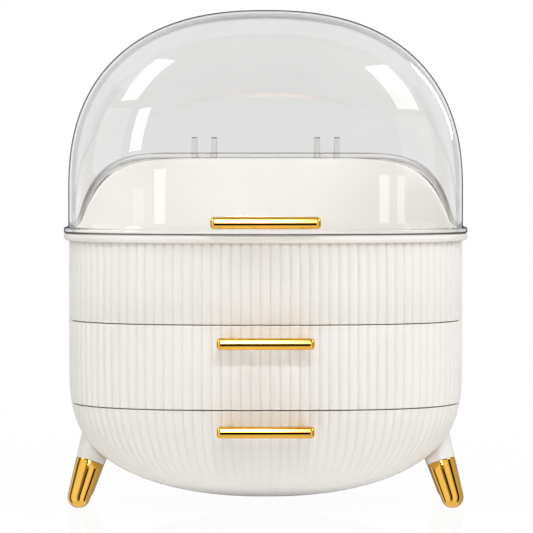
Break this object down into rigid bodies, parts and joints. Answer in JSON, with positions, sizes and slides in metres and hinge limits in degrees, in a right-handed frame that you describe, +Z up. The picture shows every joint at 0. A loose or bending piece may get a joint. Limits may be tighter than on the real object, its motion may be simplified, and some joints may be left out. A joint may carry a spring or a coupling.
{
  "type": "makeup organizer",
  "caption": "Reeded, bowl-bottomed countertop organizer with drawers below a high-backed tray, a hinged clear domed cover, bar handles and splayed capped legs.",
  "frame": {"origin": "middle of the bounding box's base, on the floor between the feet", "axes": "+Z up, -Y towards the drawer handles, +X to the right of someone who faces them"},
  "size_m": [0.32, 0.244, 0.3935],
  "materials": {
    "ivory_plastic": "satin",
    "gold_plating": "polished",
    "clear_plastic": "clear, polished",
    "screw_steel": "plain"
  },
  "bodies": {
    "case": {"top_tray": "ivory_plastic", "tray_screws": "screw_steel", "middle_case": "ivory_plastic", "bottom_case": "ivory_plastic", "hinge_pin_left": "screw_steel", "hinge_pin_right": "screw_steel", "front_left_leg": "ivory_plastic", "front_right_leg": "ivory_plastic", "rear_left_leg": "ivory_plastic", "rear_right_leg": "ivory_plastic", "front_left_cap": "gold_plating", "front_right_cap": "gold_plating", "rear_left_cap": "gold_plating", "rear_right_cap": "gold_plating", "leg_screws": "screw_steel"},
    "cover": {"dust_cover": "clear_plastic", "cover_handle_bar": "gold_plating", "cover_handle_posts": "gold_plating", "cover_handle_screws": "screw_steel"},
    "middle_drawer": {"middle_drawer_front": "ivory_plastic", "middle_drawer_bin": "ivory_plastic", "middle_handle_bar": "gold_plating", "middle_handle_posts": "gold_plating", "middle_handle_screws": "screw_steel"},
    "bottom_drawer": {"bottom_drawer_front": "ivory_plastic", "bottom_drawer_bin": "ivory_plastic", "bottom_handle_bar": "gold_plating", "bottom_handle_posts": "gold_plating", "bottom_handle_screws": "screw_steel"}
  },
  "joints": [
    {"name": "cover_hinge", "type": "hinge", "parent": "case", "child": "cover", "pos_m": [0, 0.1172, 0.274], "axis": [-1, 0, 0], "range_deg": [0, 100]},
    {"name": "middle_drawer_slide", "type": "slide", "parent": "case", "child": "middle_drawer", "axis": [0, -1, 0], "range_m": [0, 0.125]},
    {"name": "bottom_drawer_slide", "type": "slide", "parent": "case", "child": "bottom_drawer", "axis": [0, -1, 0], "range_m": [0, 0.11]}
  ]
}
